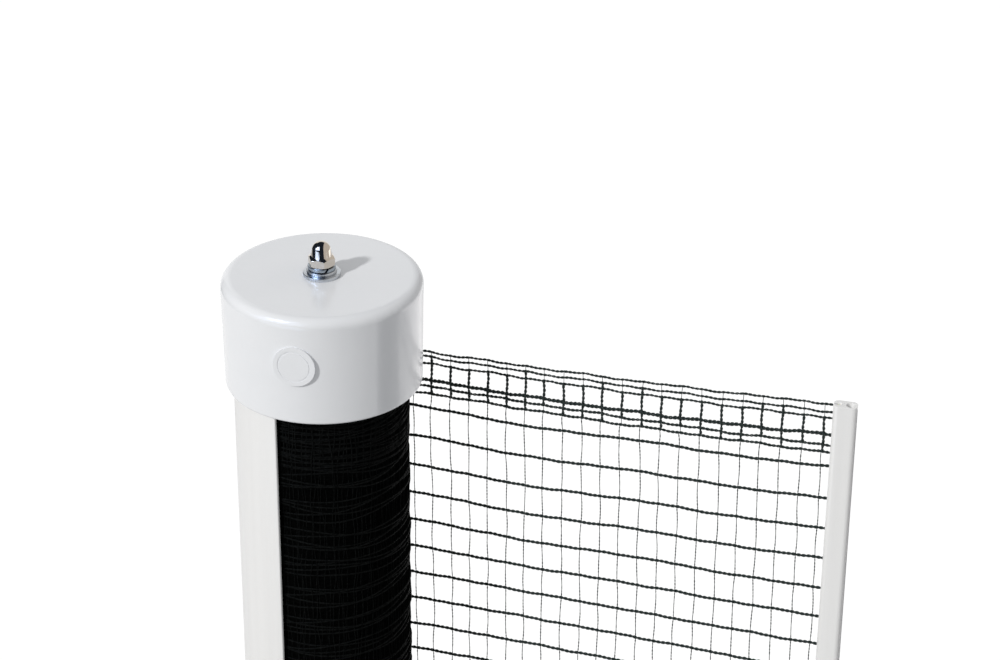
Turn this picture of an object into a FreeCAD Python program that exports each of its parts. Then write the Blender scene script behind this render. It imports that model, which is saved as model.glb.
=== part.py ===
import FreeCAD, Part
import math
import os
import re
import Sketcher

# Table tennis net post with a hand-wound reel and a table clamp, in millimetres.
# The origin is the middle of the upper jaw pad's lower face, where it rests on the table top.
# +Z is up, +X runs along the net towards the middle of the table.

SIZES = {
    # Shell and caps
    "shell_radius": 30.15,
    "shell_wall": 1.2,
    "shell_start_angle": 100,
    "shell_arc_angle": 156.2,
    "skirt_clear": 0.15,
    "skirt_wall": 3.0,
    "rim_wall": 2.4,
    "cap_height": 38.2,
    "cap_edge": 3.5,
    "rim_edge": 1.0,
    "cap_wall": 3.5,
    "seat_depth": 14,
    "hub_radius": 9,
    # Raised disc on the side of the top cap
    "disc_radius": 7,
    "disc_proud": 0.25,
    "disc_height": 21.4,
    "disc_turn_angle": 2.4,
    "disc_groove_radius": 5,
    "disc_groove_width": 0.6,
    "disc_groove_depth": 0.12,
    # Net
    "net_clear": 1.0,
    "net_height": 151.5,
    "net_length": 166,
    "net_thickness": 0.6,
    "net_roll_clear": 0.3,
    "rim_gap": 0.4,
    "hem_cord_band": 5.0,
    "hem_gap": 6.0,
    "hem_height": 17.2,
    "first_row": 23.0,
    "row_pitch": 11.75,
    "mesh_width": 6.9,
    "cord_width": 1.0,
    "seam_width": 3.0,
    # Reel
    "roll_clear": 0.35,
    "ridge_rise": 0.45,
    "core_radius": 12.5,
    "core_wall": 1.5,
    "core_overhang": 3,
    "strip_width": 3.0,
    "strip_depth": 1.3,
    "strip_inset": 6,
    "strip_sink": 0.2,
    "strip_clear": 0.1,
    "plug_flange": 2,
    "plug_rim": 1,
    "plug_depth": 12,
    "bush_radius": 4.5,
    "bush_flange_radius": 6.5,
    "bush_flange": 1,
    "bush_length": 8,
    "thrust_radius": 6.5,
    "thrust_thickness": 1,
    "drag_radius": 8,
    "drag_thickness": 1.5,
    "disc_spring_height": 1.6,
    "disc_spring_sheet": 0.6,
    "disc_spring_radius": 6,
    "run_clear": 0.1,
    "bush_clear": 0.06,
    # Axle and its fasteners
    "rod_radius": 2.5,
    "rod_hole_clear": 0.25,
    "thread_clear": 0.05,
    "rod_tail": 1.5,
    "nut_flats": 8,
    "nut_height": 4,
    "lock_nut_height": 5,
    "nut_chamfer_angle": 30,
    "nut_chamfer_inset": 0.1,
    "washer_radius": 5,
    "washer_thickness": 1,
    "flat_washer_radius": 6.2,
    "flat_washer_thickness": 1.2,
    "spacer_washer_radius": 5.0,
    "spacer_washer_thickness": 1.1,
    "lock_washer_radius": 4.6,
    "lock_washer_thickness": 1.4,
    "lock_washer_slit": 0.8,
    "acorn_hex_height": 2.8,
    "acorn_chamfer_inset": 0.3,
    "acorn_dome_radius": 3.05,
    "acorn_dome_straight": 2.4,
    "acorn_bore_depth": 5.6,
    "acorn_rod_grip": 5.0,
    # Clamp frame
    "web_gap": 1.5,
    "strip_thickness": 3,
    "bracket_width": 32,
    "bend_radius": 3,
    "foot_margin": 7,
    "corner_radius": 5,
    "bar_thickness": 4,
    "bar_past_boss": 6,
    "pad_length": 34,
    "pad_width": 28,
    "pad_thickness": 2,
    "pad_margin": 2,
    "pad_inset": 1.2,
    "pad_corner": 3,
    "bracket_screw_spacing": 34,
    "bracket_screw_radius": 1.75,
    "bracket_screw_bite": 8,
    "bracket_screw_head_radius": 3.5,
    "bracket_screw_head": 2.4,
    "screw_hole_clear": 0.25,
    "screw_tip_clear": 1,
    "screw_boss_radius": 3.8,
    "screw_boss_length": 12,
    # Clamp screw, foot and knob
    "table_thickness": 25,
    "clamp_travel": 13,
    "clamp_screw_radius": 3.95,
    "boss_radius": 8,
    "boss_length": 10,
    "boss_spigot_radius": 6,
    "foot_radius": 13,
    "foot_thickness": 3,
    "foot_rubber": 2,
    "foot_hub_radius": 7,
    "foot_hub_length": 6,
    "foot_socket_floor": 0.6,
    "neck_radius": 3.0,
    "neck_clear": 0.1,
    "ring_wire_radius": 0.5,
    "ring_radius": 3.25,
    "ring_clear": 0.2,
    "knob_gap": 1.5,
    "knob_collar_radius": 10,
    "knob_collar": 4,
    "knob_radius": 19,
    "knob_height": 14,
    "knob_edge": 2.0,
    "scallop_radius": 9,
    "scallop_place": 24,
    "scallop_count": 6,
    "insert_radius": 6,
    "insert_length": 14,
    # End bar of the net
    "bar_length_x": 8,
    "bar_width_y": 5,
    "bar_margin": 0.5,
    "bar_corner": 1.8,
    "keder_radius": 0.8,
    "keder_hole_clear": 0.1,
    "keder_place": 2.2,
    "net_slot_clear": 0.15,
    "channel_radius": 1.5,
    "channel_place": 1.7,
    "channel_mouth": 2.4,
}

# Radii, heights and places that several pieces share, as sums of the sizes above
SEAT_RADIUS = "(shell_radius + skirt_clear)"
CAP_RADIUS = f"({SEAT_RADIUS} + skirt_wall)"
RIM_RADIUS = f"({SEAT_RADIUS} + rim_wall)"
SHELL_INSIDE = "(shell_radius - shell_wall)"
ROLL_RADIUS = f"({SHELL_INSIDE} - roll_clear)"
NET_TOP = "(net_clear + net_height)"
RIM_HIGH = f"({NET_TOP} + rim_gap)"
RIM_LOW = "(net_clear - rim_gap)"
CAP_TOP = f"({RIM_HIGH} + cap_height)"
CAP_BASE = f"({RIM_LOW} - cap_height)"
CORE_HIGH = f"({NET_TOP} + core_overhang)"
CORE_LOW = "(net_clear - core_overhang)"
PLUG_TOP = f"({CORE_HIGH} + plug_flange)"
PLUG_BASE = f"({CORE_LOW} - plug_flange)"
THRUST_BASE = f"({PLUG_TOP} + bush_flange + run_clear)"
TOP_NUT_BASE = f"({THRUST_BASE} + thrust_thickness + run_clear)"
DRAG_BASE = f"({PLUG_BASE} - bush_flange - run_clear - drag_thickness)"
SPRING_BASE = f"({DRAG_BASE} - disc_spring_height)"
LOW_NUT_BASE = f"({SPRING_BASE} - nut_height)"
HUB_HIGH_END = f"({TOP_NUT_BASE} + nut_height + washer_thickness)"
HUB_LOW_END = f"({LOW_NUT_BASE} - washer_thickness)"
FOOT_BASE = f"({CAP_BASE} - strip_thickness)"
BAR_BASE = f"({FOOT_BASE} - bar_thickness)"
ACORN_BASE = f"({CAP_TOP} + flat_washer_thickness + spacer_washer_thickness + lock_washer_thickness)"
ROD_END = f"({BAR_BASE} - washer_thickness - lock_nut_height - rod_tail)"
SHELL_BASE = f"({RIM_LOW} - seat_depth)"
WEB_RIGHT = "(-pad_length / 2 - pad_inset - bend_radius)"
WEB_LEFT = f"({WEB_RIGHT} - strip_thickness)"
POST_OFFSET = f"({CAP_RADIUS} + web_gap - {WEB_LEFT})"
FOOT_LEFT = f"(-{POST_OFFSET} - bracket_screw_spacing / 2 - foot_margin)"
JAW_RIGHT = "(pad_length / 2 + pad_margin)"
BAR_RIGHT = "(boss_radius + bar_past_boss)"
BOSS_BASE = f"({BAR_BASE} - boss_length)"
KNOB_TOP = f"({BOSS_BASE} - clamp_travel - knob_gap)"
FOOT_HUB_BASE = "(-table_thickness - foot_rubber - foot_thickness - foot_hub_length)"
SOCKET_TOP = "(-table_thickness - foot_rubber - foot_socket_floor)"
SHEET_PLACE = f"({ROLL_RADIUS} + net_roll_clear)"
NET_Y = f"({SHEET_PLACE} + net_thickness / 2)"
BAR_X = f"(net_length + bar_length_x / 2 - {POST_OFFSET})"
ROD_HOLE = "(rod_radius + rod_hole_clear)"

doc = FreeCAD.newDocument("net_post")
sheet = doc.addObject("Spreadsheet::Sheet", "Sizes")
for row, (alias, number) in enumerate(SIZES.items(), start=1):
    sheet.set(f"A{row}", alias)
    sheet.set(f"B{row}", str(number))
    sheet.setAlias(f"B{row}", alias)
doc.recompute()


def size(alias):
    """The sheet's number under this alias."""
    return float(sheet.get(alias))


def from_sheet(text):
    """The text with each alias in it pointed at the sheet."""
    return re.sub(r"[a-z_]+", lambda word: f"Sizes.{word[0]}" if word[0] in SIZES else word[0], text)


def worked_out(text):
    """The number that a sum of sizes comes to."""
    numbers = re.sub(r"[a-z_]+", lambda word: str(size(word[0])), text)
    return FreeCAD.Units.Quantity(numbers).Value


def bind(item, **sums):
    """Binds each named property of the item to a sum of sizes."""
    for name, text in sums.items():
        item.setExpression(name, from_sheet(text))


def place(item, x="0", y="0", z="0"):
    """Puts the item at a place given as sums of sizes."""
    for axis, text in (("x", x), ("y", y), ("z", z)):
        item.setExpression(f"Placement.Base.{axis}", from_sheet(text))
    return item


def turn(item, axis, angle):
    """Turns the item about an axis through its own origin by a sum of sizes, in degrees."""
    item.Placement.Rotation = FreeCAD.Rotation(axis, 1)
    item.setExpression("Placement.Rotation.Angle", from_sheet(angle))
    return item


def on_post(item, z="0"):
    """Puts the item on the post's axis."""
    return place(item, f"-{POST_OFFSET}", "0", z)


UP = FreeCAD.Vector(0, 0, 1)
ALONG_X = FreeCAD.Vector(1, 0, 0)
ALONG_Y = FreeCAD.Vector(0, 1, 0)
# How far apart two lengths may be and still count as the same one
NEAR = 0.01


# Sketches and features


def new_body(label):
    return doc.addObject("PartDesign::Body", label)


def new_sketch(body, role, name):
    sketch = body.newObject("Sketcher::SketchObject", f"{body.Label}_{name}")
    plane = next(face for face in body.Origin.OriginFeatures if face.Role == role)
    sketch.AttachmentSupport = [(plane, "")]
    sketch.MapMode = "FlatFace"
    return sketch


def pin_point(sketch, geometry, point, x, y):
    """Fixes a point of the sketch at a place given as two sums of sizes."""
    for kind, text in (("DistanceX", x), ("DistanceY", y)):
        number = sketch.addConstraint(Sketcher.Constraint(kind, -1, 1, geometry, point, 0.0))
        sketch.setExpression(f"Constraints[{number}]", from_sheet(text))


def draw_outline(sketch, corners):
    """A closed outline of straight lines, each corner a pair of sums of sizes.

    The lines start as any closed polygon, and the bound dimensions move its corners into place.
    """
    first = len(sketch.Geometry)
    count = len(corners)
    for step in range(count):
        start = FreeCAD.Vector(math.cos(step), math.sin(step), 0)
        end = FreeCAD.Vector(math.cos(step + 1), math.sin(step + 1), 0)
        sketch.addGeometry(Part.LineSegment(start, end), False)
    for step in range(count):
        following = first + (step + 1) % count
        sketch.addConstraint(Sketcher.Constraint("Coincident", first + step, 2, following, 1))
    for step, (x, y) in enumerate(corners):
        pin_point(sketch, first + step, 1, x, y)


def draw_circle(sketch, x, y, radius):
    """A circle with its centre and radius given as sums of sizes."""
    circle = sketch.addGeometry(Part.Circle(FreeCAD.Vector(1, 1, 0), UP, 1), False)
    pin_point(sketch, circle, 3, x, y)
    number = sketch.addConstraint(Sketcher.Constraint("Radius", circle, 1.0))
    sketch.setExpression(f"Constraints[{number}]", from_sheet(radius))


def turned(body, name, corners, cut=False, angle="360"):
    """Turns an outline of (radius, height) corners about the body's Z axis, to add it or to cut it."""
    sketch = new_sketch(body, "XZ_Plane", f"{name}_outline")
    draw_outline(sketch, corners)
    kind = "PartDesign::Groove" if cut else "PartDesign::Revolution"
    feature = body.newObject(kind, f"{body.Label}_{name}")
    feature.Profile = (sketch, [""])
    feature.ReferenceAxis = (sketch, ["V_Axis"])
    bind(feature, Angle=angle)
    doc.recompute()
    return feature


def padded(body, name, sketch, length, centred=False, reverse=False):
    feature = body.newObject("PartDesign::Pad", f"{body.Label}_{name}")
    feature.Profile = (sketch, [""])
    if centred:
        feature.SideType = "Symmetric"
    feature.Reversed = reverse
    bind(feature, Length=length)
    doc.recompute()
    return feature


def pocketed(body, name, sketch, length, reverse=False):
    """Cuts the sketch's outline into the body, and stops if nothing was cut."""
    before = body.Shape.Volume
    feature = body.newObject("PartDesign::Pocket", f"{body.Label}_{name}")
    feature.Profile = (sketch, [""])
    feature.Reversed = reverse
    bind(feature, Length=length)
    doc.recompute()
    if feature.Shape.Volume >= before:
        raise ValueError(f"{body.Label}_{name} cuts nothing")
    return feature


def rounded(body, name, picked, radius):
    """Rounds the edges of the body's last feature that picked(edge) is true for."""
    base = body.Tip
    edges = [f"Edge{n}" for n, edge in enumerate(base.Shape.Edges, start=1) if picked(edge)]
    if not edges:
        raise ValueError(f"{body.Label}_{name} finds no edge")
    feature = body.newObject("PartDesign::Fillet", f"{body.Label}_{name}")
    feature.Base = (base, edges)
    bind(feature, Radius=radius)
    doc.recompute()
    return feature


def is_ring(radius, height):
    """Picks the circular edges of this radius at this height."""
    def picked(edge):
        ring = edge.Curve.TypeId == "Part::GeomCircle" and abs(edge.Curve.Radius - radius) < NEAR
        return ring and abs(edge.CenterOfMass.z - height) < NEAR
    return picked


def is_straight_along(axis, x=None, z=None):
    """Picks the straight edges along an axis, at this x and z of the body where they are given."""
    def picked(edge):
        if edge.Curve.TypeId != "Part::GeomLine":
            return False
        along = edge.tangentAt(edge.FirstParameter).cross(axis).Length < NEAR
        middle = edge.CenterOfMass
        at_x = x is None or abs(middle.x - x) < NEAR
        at_z = z is None or abs(middle.z - z) < NEAR
        return along and at_x and at_z
    return picked


# Primitives


def cylinder(name, radius, height):
    item = doc.addObject("Part::Cylinder", name)
    bind(item, Radius=radius, Height=height)
    return item


def box(name, length, width, height):
    item = doc.addObject("Part::Box", name)
    bind(item, Length=length, Width=width, Height=height)
    return item


def hexagon(name, flats, height):
    item = doc.addObject("Part::Prism", name)
    item.Polygon = 6
    bind(item, Circumradius=f"{flats} / 2 / cos(30)", Height=height)
    return item


def cut(label, base, tool):
    item = doc.addObject("Part::Cut", label)
    item.Base = base
    item.Tool = tool
    return item


def join(label, pieces):
    item = doc.addObject("Part::MultiFuse", label)
    item.Shapes = pieces
    return item


def ring(label, radius, hole, height):
    """A flat ring: a washer, a spacer or a plain bush."""
    return cut(label, cylinder(f"{label}_body", radius, height), cylinder(f"{label}_hole", hole, height))


def corner_cone(name, inset, height, flip=False):
    """A cone that takes a hexagon's corners off at its top face, or at its lower one."""
    narrow = f"nut_flats / 2 - {inset}"
    wide = f"{narrow} + {height} / tan(nut_chamfer_angle)"
    cone = doc.addObject("Part::Cone", name)
    if flip:
        bind(cone, Radius1=narrow, Radius2=wide, Height=height)
    else:
        bind(cone, Radius1=wide, Radius2=narrow, Height=height)
    return cone


def hex_nut(label, height):
    """A hexagon nut with its thread's bore, and its outer corners taken off at each face."""
    shaped = doc.addObject("Part::MultiCommon", f"{label}_shaped")
    shaped.Shapes = [
        hexagon(f"{label}_blank", "nut_flats", height),
        corner_cone(f"{label}_upper_cone", "nut_chamfer_inset", height),
        corner_cone(f"{label}_lower_cone", "nut_chamfer_inset", height, flip=True),
    ]
    bore = cylinder(f"{label}_bore", "rod_radius + thread_clear", height)
    return cut(label, shaped, bore)


# Caps


def solid_cap(label):
    """The outside of a round end cap, rim at z = 0 and end wall at the top."""
    body = new_body(label)
    turned(body, "outside", [
        ("0", "0"),
        (RIM_RADIUS, "0"),
        (CAP_RADIUS, "cap_height"),
        ("0", "cap_height"),
    ])
    return body


def hollow_cap(body, hub_start):
    """Opens the cap's inside up to its end wall and round the hub, and drills the hub."""
    ceiling = "(cap_height - cap_wall)"
    turned(body, "inside", [
        ("0", "0"),
        (SEAT_RADIUS, "0"),
        (SEAT_RADIUS, "seat_depth"),
        (SHELL_INSIDE, "seat_depth"),
        (SHELL_INSIDE, ceiling),
        ("hub_radius", ceiling),
        ("hub_radius", hub_start),
        ("0", hub_start),
    ], cut=True)
    turned(body, "rod_hole", [
        ("0", "0"),
        (ROD_HOLE, "0"),
        (ROD_HOLE, "cap_height"),
        ("0", "cap_height"),
    ], cut=True)


def round_cap_edges(body):
    rounded(body, "end_edge", is_ring(worked_out(CAP_RADIUS), size("cap_height")), "cap_edge")
    rounded(body, "rim_edge", is_ring(worked_out(RIM_RADIUS), 0), "rim_edge")


def add_side_disc(body):
    """The raised round disc on the skirt, with one shallow ring groove in its flat face."""
    face = f"({CAP_RADIUS} + disc_proud)"
    sketch = new_sketch(body, "XZ_Plane", "disc_outline")
    draw_circle(sketch, "0", "disc_height", "disc_radius")
    padded(body, "disc", sketch, face)
    outer_edge = "(disc_groove_radius + disc_groove_width)"
    sketch = new_sketch(body, "XZ_Plane", "disc_groove_outline")
    draw_circle(sketch, "0", "disc_height", "disc_groove_radius")
    draw_circle(sketch, "0", "disc_height", outer_edge)
    place_sketch(sketch, face)
    pocketed(body, "disc_groove", sketch, "disc_groove_depth")


def place_sketch(sketch, distance):
    """Moves a sketch this far out from its plane."""
    sketch.setExpression("AttachmentOffset.Base.z", from_sheet(distance))


def add_screw_posts(body):
    """Two solid posts inside the end wall, drilled for the bracket's screws."""
    ceiling = "(cap_height - cap_wall)"
    for side, name in ((-1, "left"), (1, "right")):
        across = f"({side} * bracket_screw_spacing / 2)"
        sketch = new_sketch(body, "XY_Plane", f"{name}_post_outline")
        draw_circle(sketch, across, "0", "screw_boss_radius")
        place_sketch(sketch, f"{ceiling} - screw_boss_length")
        padded(body, f"{name}_post", sketch, "screw_boss_length + cap_wall / 2")
        sketch = new_sketch(body, "XY_Plane", f"{name}_pilot_outline")
        draw_circle(sketch, across, "0", "bracket_screw_radius + thread_clear")
        place_sketch(sketch, "cap_height")
        pocketed(body, f"{name}_pilot", sketch, "cap_wall + bracket_screw_bite + screw_tip_clear")


def make_top_cap():
    body = solid_cap("top_cap")
    add_side_disc(body)
    round_cap_edges(body)
    hollow_cap(body, f"({HUB_HIGH_END} - {RIM_HIGH})")
    turn(body, UP, "disc_turn_angle")
    on_post(body, RIM_HIGH)


def make_bottom_cap():
    body = solid_cap("bottom_cap")
    round_cap_edges(body)
    hollow_cap(body, f"({RIM_LOW} - {HUB_LOW_END})")
    add_screw_posts(body)
    turn(body, ALONG_X, "180")
    on_post(body, RIM_LOW)


def make_housing_shell():
    """The thin shell: a tube wall open at the front and right, its ends inside the caps' skirts."""
    body = new_body("housing_shell")
    height = f"({RIM_HIGH} - {RIM_LOW} + 2 * seat_depth)"
    turned(body, "wall", [
        (SHELL_INSIDE, "0"),
        ("shell_radius", "0"),
        ("shell_radius", height),
        (SHELL_INSIDE, height),
    ], angle="shell_arc_angle")
    turn(body, UP, "shell_start_angle")
    on_post(body, SHELL_BASE)


# Axle and its fasteners


def make_axle():
    rod = cylinder("axle_rod", "rod_radius", f"{ACORN_BASE} + acorn_rod_grip - {ROD_END}")
    on_post(rod, ROD_END)


def make_acorn_nut():
    """The domed nut: hexagon, straight neck and half ball, with a blind bore for the rod."""
    shaped = doc.addObject("Part::Common", "acorn_shaped")
    shaped.Base = hexagon("acorn_blank", "nut_flats", "acorn_hex_height")
    shaped.Tool = corner_cone("acorn_corner_cone", "acorn_chamfer_inset", "acorn_hex_height")
    neck = cylinder("acorn_neck", "acorn_dome_radius", "acorn_hex_height + acorn_dome_straight")
    ball = doc.addObject("Part::Sphere", "acorn_ball")
    bind(ball, Radius="acorn_dome_radius")
    place(ball, z="acorn_hex_height + acorn_dome_straight")
    solid = join("acorn_solid", [shaped, neck, ball])
    bore = cylinder("acorn_bore", "rod_radius + thread_clear", "acorn_bore_depth")
    on_post(cut("acorn_nut", solid, bore), ACORN_BASE)


def make_top_washers():
    flat = ring("top_flat_washer", "flat_washer_radius", ROD_HOLE, "flat_washer_thickness")
    on_post(flat, CAP_TOP)
    spacer = ring("top_spacer_washer", "spacer_washer_radius", ROD_HOLE, "spacer_washer_thickness")
    on_post(spacer, f"{CAP_TOP} + flat_washer_thickness")
    whole = ring("lock_washer_whole", "lock_washer_radius", ROD_HOLE, "lock_washer_thickness")
    slit = box("lock_washer_cut", "2 * lock_washer_radius", "lock_washer_slit", "lock_washer_thickness")
    split = cut("top_lock_washer", whole, slit)
    on_post(split, f"{CAP_TOP} + flat_washer_thickness + spacer_washer_thickness")


def make_inner_fasteners():
    on_post(hex_nut("top_inner_nut", "nut_height"), TOP_NUT_BASE)
    on_post(ring("top_inner_washer", "washer_radius", ROD_HOLE, "washer_thickness"),
            f"{TOP_NUT_BASE} + nut_height")
    on_post(ring("top_thrust_washer", "thrust_radius", ROD_HOLE, "thrust_thickness"), THRUST_BASE)
    on_post(hex_nut("bottom_inner_nut", "nut_height"), LOW_NUT_BASE)
    on_post(ring("bottom_inner_washer", "washer_radius", ROD_HOLE, "washer_thickness"), HUB_LOW_END)
    on_post(ring("drag_washer", "drag_radius", ROD_HOLE, "drag_thickness"), DRAG_BASE)


def make_drag_spring():
    """A coned disc spring that presses the drag washer against the reel's lower bush."""
    body = new_body("drag_disc_spring")
    rise = "(disc_spring_height - disc_spring_sheet)"
    turned(body, "cone", [
        (ROD_HOLE, rise),
        ("disc_spring_radius", "0"),
        ("disc_spring_radius", "disc_spring_sheet"),
        (ROD_HOLE, "disc_spring_height"),
    ])
    on_post(body, SPRING_BASE)


def make_bottom_fasteners():
    on_post(ring("bottom_washer", "washer_radius", ROD_HOLE, "washer_thickness"),
            f"{BAR_BASE} - washer_thickness")
    on_post(hex_nut("bottom_lock_nut", "lock_nut_height"),
            f"{BAR_BASE} - washer_thickness - lock_nut_height")


# Reel


def make_roller_tube():
    """The reel's core tube, with a long slot for the strip that holds the net's inner end."""
    tube = ring("roller_tube_whole", "core_radius", "core_radius - core_wall", f"{CORE_HIGH} - {CORE_LOW}")
    slot_width = "(strip_width + 2 * strip_clear)"
    slot = box("roller_tube_slot", "2 * core_radius", slot_width, "net_height - 2 * strip_inset")
    place(slot, "0", f"-{slot_width} / 2", "strip_inset + core_overhang")
    on_post(cut("roller_tube", tube, slot), CORE_LOW)


def make_anchor_strip():
    """The strip that locks the net's inner end in the core's slot, just under the core's surface."""
    length = "net_height - 2 * strip_inset - 2 * strip_clear"
    strip = box("net_anchor_strip", "strip_depth", "strip_width", length)
    place(strip, f"core_radius - strip_sink - strip_depth - {POST_OFFSET}", "-strip_width / 2",
          "net_clear + strip_inset + strip_clear")


def make_plug(label, flip, z):
    """An end plug of the core: a flange over the tube's end and a spigot inside it, bored for its bush."""
    body = new_body(label)
    turned(body, "turning", [
        ("bush_radius", "-plug_depth"),
        ("core_radius - core_wall", "-plug_depth"),
        ("core_radius - core_wall", "0"),
        ("core_radius + plug_rim", "0"),
        ("core_radius + plug_rim", "plug_flange"),
        ("bush_radius", "plug_flange"),
    ])
    if flip:
        turn(body, ALONG_X, "180")
    on_post(body, z)


def make_bush(label, flip, z):
    """A flanged plastic bush, pressed into a plug and running on the rod."""
    body = new_body(label)
    bore = "(rod_radius + bush_clear)"
    turned(body, "turning", [
        (bore, "-bush_length"),
        ("bush_radius", "-bush_length"),
        ("bush_radius", "0"),
        ("bush_flange_radius", "0"),
        ("bush_flange_radius", "bush_flange"),
        (bore, "bush_flange"),
    ])
    if flip:
        turn(body, ALONG_X, "180")
    on_post(body, z)


def row_depths():
    """How far below the net's top edge its level cords lie, from the hem's lower edge to the last row."""
    first = size("first_row")
    pitch = size("row_pitch")
    rows = int((size("net_height") - first) / pitch - 0.5) + 1
    return [size("hem_height")] + [first + row * pitch for row in range(rows)]


def make_net_roll():
    """The wound net round the core: its side swells into a ridge where the turns of a level cord lie."""
    outer = worked_out(ROLL_RADIUS)
    valley = outer - size("ridge_rise")
    inner = size("core_radius")
    height = size("net_height")
    hem = [size("hem_cord_band") / 2, size("hem_height") - size("hem_cord_band") / 2]
    rows = sorted(height - depth for depth in hem + row_depths()[1:])
    valleys = [(low + high) / 2 for low, high in zip(rows, rows[1:])]
    ends = [0.0] + valleys + [height]
    corners = [FreeCAD.Vector(inner, 0, 0), FreeCAD.Vector(valley, 0, 0)]
    edges = [Part.LineSegment(*corners)]
    for low, high in zip(ends, ends[1:]):
        crest = FreeCAD.Vector(outer, 0, (low + high) / 2)
        edges.append(Part.Arc(FreeCAD.Vector(valley, 0, low), crest, FreeCAD.Vector(valley, 0, high)))
    edges.append(Part.LineSegment(FreeCAD.Vector(valley, 0, height), FreeCAD.Vector(inner, 0, height)))
    edges.append(Part.LineSegment(FreeCAD.Vector(inner, 0, height), corners[0]))
    outline = Part.Face(Part.Wire([edge.toShape() for edge in edges]))
    roll = doc.addObject("Part::Feature", "net_roll")
    roll.Shape = outline.revolve(FreeCAD.Vector(0, 0, 0), UP, 360)
    on_post(roll, "net_clear")


def make_net_sheet():
    """The net drawn out along +X, as one sheet with a gap for every mesh."""
    length = worked_out("net_length + bar_length_x / 2 - keder_place - keder_radius")
    height = size("net_height")
    half_cord = size("cord_width") / 2
    seam = size("seam_width")
    start = size("net_roll_clear")
    width = size("net_length") - start - 2 * seam
    columns = int(width / size("mesh_width"))
    pitch = width / columns
    bottom_edge = height - half_cord
    depths = row_depths()
    spans = [(size("hem_cord_band"), size("hem_cord_band") + size("hem_gap"))]
    for upper, lower in zip(depths, depths[1:] + [bottom_edge]):
        spans.append((upper + half_cord, lower - half_cord))
    outline = [(start, 0), (length, 0), (length, height), (start, height)]
    net = Part.Face(upright_wire(outline))
    gaps = []
    for upper, lower in spans:
        for column in range(columns):
            left = start + seam + column * pitch + half_cord
            right = left + pitch - 2 * half_cord
            corners = [(left, height - lower), (right, height - lower), (right, height - upper),
                       (left, height - upper)]
            gaps.append(Part.Face(upright_wire(corners)))
    holed = net.cut(Part.makeCompound(gaps))
    item = doc.addObject("Part::Feature", "net_sheet")
    item.Shape = holed.extrude(FreeCAD.Vector(0, size("net_thickness"), 0))
    place(item, f"-{POST_OFFSET}", SHEET_PLACE, "net_clear")


def upright_wire(corners):
    """A closed wire in the XZ plane through (x, z) corners."""
    points = [FreeCAD.Vector(x, 0, z) for x, z in corners]
    return Part.makePolygon(points + points[:1])


# End bar


def make_end_bar():
    """The net's end bar: a keyed slot for the net on one side, a snap channel on the other."""
    height = "(net_height + 2 * bar_margin)"
    body = new_body("end_bar")
    half_x = "(bar_length_x / 2)"
    half_y = "(bar_width_y / 2)"
    sketch = new_sketch(body, "XY_Plane", "block_outline")
    draw_outline(sketch, [
        (f"-{half_x}", f"-{half_y}"),
        (half_x, f"-{half_y}"),
        (half_x, half_y),
        (f"-{half_x}", half_y),
    ])
    padded(body, "block", sketch, height)
    rounded(body, "corners", is_straight_along(UP), "bar_corner")
    sketch = new_sketch(body, "XY_Plane", "holes_outline")
    draw_circle(sketch, "-keder_place", "0", "keder_radius + keder_hole_clear")
    draw_circle(sketch, "channel_place", "0", "channel_radius")
    pocketed(body, "holes", sketch, height, reverse=True)
    slot = "(net_thickness / 2 + net_slot_clear)"
    mouth = "(channel_mouth / 2)"
    sketch = new_sketch(body, "XY_Plane", "mouths_outline")
    draw_outline(sketch, [
        (f"-{half_x}", f"-{slot}"),
        ("-keder_place", f"-{slot}"),
        ("-keder_place", slot),
        (f"-{half_x}", slot),
    ])
    draw_outline(sketch, [
        ("channel_place", f"-{mouth}"),
        (half_x, f"-{mouth}"),
        (half_x, mouth),
        ("channel_place", mouth),
    ])
    pocketed(body, "mouths", sketch, height, reverse=True)
    place(body, BAR_X, NET_Y, "net_clear - bar_margin")
    rod = cylinder("keder_rod", "keder_radius", "net_height")
    place(rod, f"{BAR_X} - keder_place", NET_Y, "net_clear")


# Clamp frame


def make_jaw_bracket():
    """The bent strip: foot under the post, web up past the table's edge, and upper jaw over the table."""
    body = new_body("jaw_bracket")
    jaw_top = "(pad_thickness + strip_thickness)"
    sketch = new_sketch(body, "XZ_Plane", "strip_outline")
    draw_outline(sketch, [
        (FOOT_LEFT, FOOT_BASE),
        (WEB_RIGHT, FOOT_BASE),
        (WEB_RIGHT, "pad_thickness"),
        (JAW_RIGHT, "pad_thickness"),
        (JAW_RIGHT, jaw_top),
        (WEB_LEFT, jaw_top),
        (WEB_LEFT, CAP_BASE),
        (FOOT_LEFT, CAP_BASE),
    ])
    padded(body, "strip", sketch, "bracket_width", centred=True)
    inner = "bend_radius"
    outer = "bend_radius + strip_thickness"
    bend_edges(body, "lower_inner_bend", WEB_LEFT, CAP_BASE, inner)
    bend_edges(body, "upper_inner_bend", WEB_RIGHT, "pad_thickness", inner)
    bend_edges(body, "lower_outer_bend", WEB_RIGHT, FOOT_BASE, outer)
    bend_edges(body, "upper_outer_bend", WEB_LEFT, jaw_top, outer)
    rounded(body, "foot_corners", is_straight_along(UP, worked_out(FOOT_LEFT)), "corner_radius")
    rounded(body, "jaw_corners", is_straight_along(UP, worked_out(JAW_RIGHT)), "corner_radius")
    drill_for_post(body, CAP_BASE, "strip_thickness")


def bend_edges(body, name, x, z, radius):
    """Rounds the strip's edge along Y at an (x, z) given as sums of sizes, as one side of a bend."""
    rounded(body, name, is_straight_along(ALONG_Y, worked_out(x), worked_out(z)), radius)


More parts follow.
